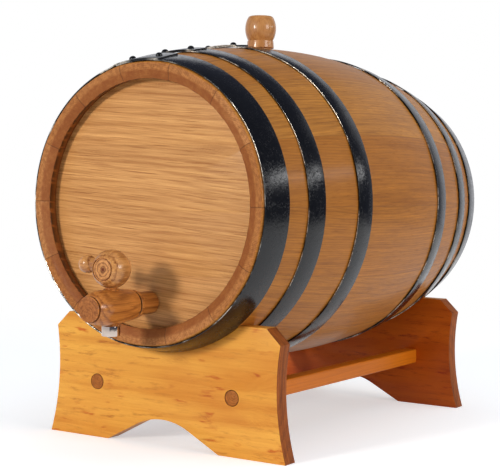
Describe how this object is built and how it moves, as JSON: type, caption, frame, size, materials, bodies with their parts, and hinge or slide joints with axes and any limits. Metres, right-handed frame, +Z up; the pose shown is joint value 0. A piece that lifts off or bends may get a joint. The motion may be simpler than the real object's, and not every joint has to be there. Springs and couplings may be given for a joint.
{
  "type": "oak cask liquor dispenser",
  "caption": "Oak cask lying in a wooden cradle, with riveted steel hoops, a pull-out bung and a wooden tap with a turning key and a metal spout.",
  "frame": {"origin": "on the floor, under the middle of the whole dispenser's footprint", "axes": "+Z up, +Y along the cask's axis from the tapped head to the rear head, +X to the right of someone who faces the tap"},
  "size_m": [0.305, 0.506, 0.4043],
  "materials": {
    "stave_oak": "medium brown oak under satin varnish",
    "head_oak": "light tan oak under satin varnish",
    "pin_wood": "plain unfinished hardwood",
    "hoop_steel": "black semi-gloss coated steel",
    "rivet_steel": "black semi-gloss coated steel",
    "tap_oak": "turned red-brown wood under gloss varnish",
    "spout_aluminium": "bright drawn metal",
    "bung_oak": "turned wood under gloss varnish",
    "cradle_pine": "golden stained pine under satin varnish",
    "rail_pine": "golden stained pine under satin varnish"
  },
  "bodies": {
    "cradle": {"front_cradle_plate": "cradle_pine", "rear_cradle_plate": "cradle_pine", "left_cradle_rail": "rail_pine", "right_cradle_rail": "rail_pine"},
    "cask": {"bung_stave": "stave_oak", "stave_02": "stave_oak", "stave_03": "stave_oak", "stave_04": "stave_oak", "stave_05": "stave_oak", "stave_06": "stave_oak", "stave_07": "stave_oak", "stave_08": "stave_oak", "stave_09": "stave_oak", "stave_10": "stave_oak", "stave_11": "stave_oak", "stave_12": "stave_oak", "stave_13": "stave_oak", "stave_14": "stave_oak", "front_head_board_1": "head_oak", "front_head_board_2": "head_oak", "front_head_board_3": "head_oak", "front_head_board_4": "head_oak", "rear_head_board_1": "head_oak", "rear_head_board_2": "head_oak", "rear_head_board_3": "head_oak", "rear_head_board_4": "head_oak", "front_head_pins": "pin_wood", "rear_head_pins": "pin_wood", "front_chime_hoop": "hoop_steel", "front_quarter_hoop": "hoop_steel", "front_bilge_hoop": "hoop_steel", "rear_chime_hoop": "hoop_steel", "rear_quarter_hoop": "hoop_steel", "rear_bilge_hoop": "hoop_steel", "hoop_rivets": "rivet_steel", "tap_body": "tap_oak"},
    "key": {"tap_key": "tap_oak", "tap_handle": "tap_oak", "tap_handle_peg": "tap_oak", "tap_spout": "spout_aluminium"},
    "stopper": {"bung": "bung_oak"}
  },
  "joints": [
    {"name": "cask_lift", "type": "slide", "parent": "cradle", "child": "cask", "axis": [0, 0, 1], "range_m": [0, 0.12]},
    {"name": "tap_turn", "type": "hinge", "parent": "cask", "child": "key", "pos_m": [0, -0.2225, 0.1325], "axis": [0, 0, 1], "continuous": true},
    {"name": "bung_pull", "type": "slide", "parent": "cask", "child": "stopper", "axis": [0, 0, 1], "range_m": [0, 0.07]}
  ]
}
